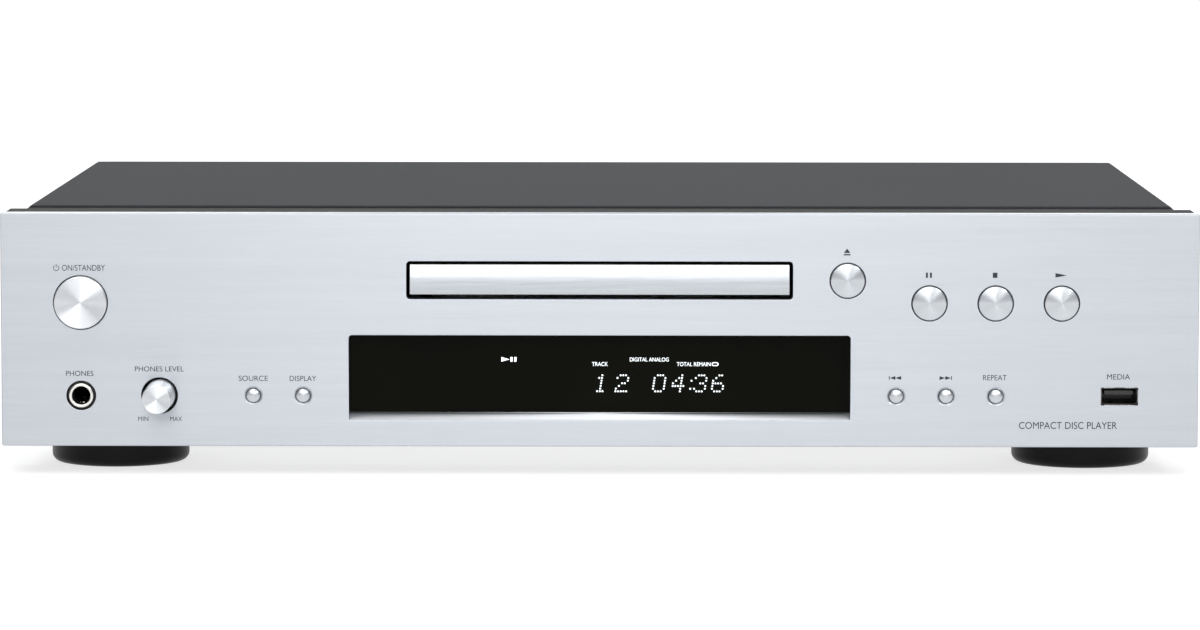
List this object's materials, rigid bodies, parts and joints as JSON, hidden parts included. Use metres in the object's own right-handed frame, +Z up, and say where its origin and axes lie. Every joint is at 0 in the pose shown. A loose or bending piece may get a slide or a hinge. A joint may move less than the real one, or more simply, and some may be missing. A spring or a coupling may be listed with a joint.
{
  "type": "cd player",
  "caption": "Full-width hi-fi CD player with a motorised disc drawer, display window, push buttons, headphone level knob and round feet.",
  "frame": {"origin": "centre of the bounding box's footprint, on the surface the feet stand on", "axes": "+X to the right of someone facing the front, +Y from the front panel to the rear sockets, +Z up"},
  "size_m": [0.435, 0.3076, 0.096],
  "materials": {
    "panel_aluminium": "fine horizontal brushing, clear anodised",
    "tray_aluminium": "fine horizontal brushing, clear anodised",
    "turned_aluminium": "turned with fine circular marks, clear anodised",
    "bezel_plastic": "satin moulded, fine texture",
    "window_acrylic": "polished smoked acrylic",
    "tube_glass": "dark glass over a phosphor grid",
    "zinc_steel": "zinc plated sheet",
    "bridge_steel": "zinc plated sheet",
    "deck_steel": "pressed zinc plated sheet",
    "cover_steel": "dark grey powder coat, fine texture",
    "rear_steel": "dark grey satin paint",
    "screw_steel": "black oxide",
    "foot_rubber": "matt moulded rubber",
    "belt_rubber": "matt",
    "front_board": "green solder mask with fitted switches",
    "power_board": "brown phenolic board with fitted parts",
    "audio_board": "green solder mask with fitted parts",
    "pot_plastic": "moulded",
    "shaft_metal": "turned steel",
    "jack_plastic": "moulded, with a plated nose",
    "usb_metal": "bright plating",
    "tray_plastic": "satin moulded",
    "frame_plastic": "moulded",
    "white_plastic": "natural acetal",
    "puck_plastic": "satin moulded",
    "hub_plastic": "moulded with a rubber ring",
    "motor_steel": "plated drawn can",
    "pinion_metal": "turned brass",
    "rod_steel": "polished steel",
    "pickup_metal": "die-cast body with a black lens carrier",
    "core_steel": "varnished laminations",
    "coil_copper": "winding under amber tape",
    "jack_metal": "plated sleeves on a moulded block",
    "optical_plastic": "moulded",
    "shutter_plastic": "moulded",
    "inlet_plastic": "moulded, with plated pins"
  },
  "bodies": {
    "chassis": {"ac_inlet": "inlet_plastic", "analog_jacks": "jack_metal", "audio_board": "audio_board", "chassis_base": "zinc_steel", "clamp_bridge": "bridge_steel", "coaxial_jack": "jack_metal", "cover_screw_left_front": "screw_steel", "cover_screw_left_rear": "screw_steel", "cover_screw_right_front": "screw_steel", "cover_screw_right_rear": "screw_steel", "display_tube": "tube_glass", "display_window": "window_acrylic", "drive_belt": "belt_rubber", "foot_front_left": "foot_rubber", "foot_front_right": "foot_rubber", "foot_rear_left": "foot_rubber", "foot_rear_right": "foot_rubber", "front_bezel": "bezel_plastic", "front_board": "front_board", "front_panel": "panel_aluminium", "level_pot": "pot_plastic", "loader_frame": "frame_plastic", "loading_motor": "motor_steel", "optical_jack": "optical_plastic", "phones_jack": "jack_plastic", "power_board": "power_board", "rear_panel": "rear_steel", "top_cover": "cover_steel", "transformer_coil": "coil_copper", "transformer_core": "core_steel", "usb_port": "usb_metal"},
    "tray": {"disc_tray": "tray_plastic", "tray_front": "tray_aluminium"},
    "level": {"level_knob": "turned_aluminium", "level_shaft": "shaft_metal"},
    "tray_drive": {"tray_gear": "white_plastic"},
    "pulley_drive": {"pulley_gear": "white_plastic"},
    "motor_drive": {"motor_pulley": "white_plastic"},
    "deck": {"traverse_deck": "deck_steel", "spindle_motor": "motor_steel", "guide_rod_left": "rod_steel", "guide_rod_right": "rod_steel", "sled_motor": "motor_steel"},
    "cam": {"cam_slider": "white_plastic"},
    "hub": {"turntable": "hub_plastic"},
    "puck": {"clamp_puck": "puck_plastic"},
    "laser": {"pickup": "pickup_metal"},
    "sled_drive": {"sled_gear": "white_plastic"},
    "sled_pinion_drive": {"sled_pinion": "pinion_metal"},
    "shutter": {"optical_shutter": "shutter_plastic"},
    "power": {"power_button": "turned_aluminium"},
    "eject": {"eject_button": "turned_aluminium"},
    "pause": {"pause_button": "turned_aluminium"},
    "stop": {"stop_button": "turned_aluminium"},
    "play": {"play_button": "turned_aluminium"},
    "source": {"source_button": "turned_aluminium"},
    "display": {"display_button": "turned_aluminium"},
    "previous": {"previous_button": "turned_aluminium"},
    "next": {"next_button": "turned_aluminium"},
    "repeat": {"repeat_button": "turned_aluminium"}
  },
  "joints": [
    {"name": "tray_slide", "type": "slide", "parent": "chassis", "child": "tray", "axis": [0, -1, 0], "range_m": [0, 0.134]},
    {"name": "tray_gear_spin", "type": "hinge", "parent": "chassis", "child": "tray_drive", "pos_m": [-0.047, -0.1096, 0.063], "axis": [0, 0, 1], "range_deg": [-5, 775]},
    {"name": "pulley_gear_spin", "type": "hinge", "parent": "chassis", "child": "pulley_drive", "pos_m": [-0.027, -0.1096, 0.059], "axis": [0, 0, 1], "range_deg": [-1810, 10]},
    {"name": "motor_pulley_spin", "type": "hinge", "parent": "chassis", "child": "motor_drive", "pos_m": [0.002, -0.1096, 0.059], "axis": [0, 0, 1], "range_deg": [-6200, 20]},
    {"name": "level_turn", "type": "hinge", "parent": "chassis", "child": "level", "pos_m": [-0.16, -0.127, 0.0295], "axis": [0, 1, 0], "range_deg": [-150, 150]},
    {"name": "deck_tilt", "type": "hinge", "parent": "chassis", "child": "deck", "pos_m": [0, 0.005, 0.061], "axis": [1, 0, 0], "range_deg": [0, 5]},
    {"name": "cam_shift", "type": "slide", "parent": "chassis", "child": "cam", "axis": [1, 0, 0], "range_m": [0, 0.0121]},
    {"name": "hub_spin", "type": "hinge", "parent": "deck", "child": "hub", "pos_m": [0, -0.068, 0.0602], "axis": [0, 0, 1], "continuous": true},
    {"name": "puck_spin", "type": "hinge", "parent": "chassis", "child": "puck", "pos_m": [0, -0.068, 0.0806], "axis": [0, 0, 1], "continuous": true},
    {"name": "laser_slide", "type": "slide", "parent": "deck", "child": "laser", "axis": [0, 1, 0], "range_m": [0, 0.034]},
    {"name": "sled_gear_spin", "type": "hinge", "parent": "deck", "child": "sled_drive", "pos_m": [-0.0334, -0.025, 0.0624], "axis": [0, 0, 1], "range_deg": [-5, 450]},
    {"name": "sled_pinion_spin", "type": "hinge", "parent": "deck", "child": "sled_pinion_drive", "pos_m": [-0.0334, -0.0374, 0.0624], "axis": [0, 0, 1], "range_deg": [-1100, 5]},
    {"name": "shutter_swing", "type": "hinge", "parent": "chassis", "child": "shutter", "pos_m": [0.118, 0.1446, 0.046], "axis": [-1, 0, 0], "range_deg": [0, 80], "stiffness_Nm_per_rad": 0.00002, "springref_deg": -11.46},
    {"name": "power_press", "type": "slide", "parent": "chassis", "child": "power", "axis": [0, 1, 0], "range_m": [0, 0.0015], "stiffness_N_per_m": 400, "springref_m": -0.001},
    {"name": "eject_press", "type": "slide", "parent": "chassis", "child": "eject", "axis": [0, 1, 0], "range_m": [0, 0.0015], "stiffness_N_per_m": 400, "springref_m": -0.001},
    {"name": "pause_press", "type": "slide", "parent": "chassis", "child": "pause", "axis": [0, 1, 0], "range_m": [0, 0.0015], "stiffness_N_per_m": 400, "springref_m": -0.001},
    {"name": "stop_press", "type": "slide", "parent": "chassis", "child": "stop", "axis": [0, 1, 0], "range_m": [0, 0.0015], "stiffness_N_per_m": 400, "springref_m": -0.001},
    {"name": "play_press", "type": "slide", "parent": "chassis", "child": "play", "axis": [0, 1, 0], "range_m": [0, 0.0015], "stiffness_N_per_m": 400, "springref_m": -0.001},
    {"name": "source_press", "type": "slide", "parent": "chassis", "child": "source", "axis": [0, 1, 0], "range_m": [0, 0.001], "stiffness_N_per_m": 400, "springref_m": -0.001},
    {"name": "display_press", "type": "slide", "parent": "chassis", "child": "display", "axis": [0, 1, 0], "range_m": [0, 0.001], "stiffness_N_per_m": 400, "springref_m": -0.001},
    {"name": "previous_press", "type": "slide", "parent": "chassis", "child": "previous", "axis": [0, 1, 0], "range_m": [0, 0.001], "stiffness_N_per_m": 400, "springref_m": -0.001},
    {"name": "next_press", "type": "slide", "parent": "chassis", "child": "next", "axis": [0, 1, 0], "range_m": [0, 0.001], "stiffness_N_per_m": 400, "springref_m": -0.001},
    {"name": "repeat_press", "type": "slide", "parent": "chassis", "child": "repeat", "axis": [0, 1, 0], "range_m": [0, 0.001], "stiffness_N_per_m": 400, "springref_m": -0.001}
  ],
  "couplings": [
    {"joint": "tray_gear_spin", "follows": "tray_slide", "rad_per_m": 100},
    {"joint": "pulley_gear_spin", "follows": "tray_slide", "rad_per_m": -233.33},
    {"joint": "motor_pulley_spin", "follows": "tray_slide", "rad_per_m": -777.78},
    {"joint": "cam_shift", "follows": "deck_tilt", "m_per_rad": 0.13751},
    {"joint": "puck_spin", "follows": "hub_spin", "ratio": 1},
    {"joint": "sled_gear_spin", "follows": "laser_slide", "rad_per_m": 227.27},
    {"joint": "sled_pinion_spin", "follows": "laser_slide", "rad_per_m": -555.56}
  ]
}
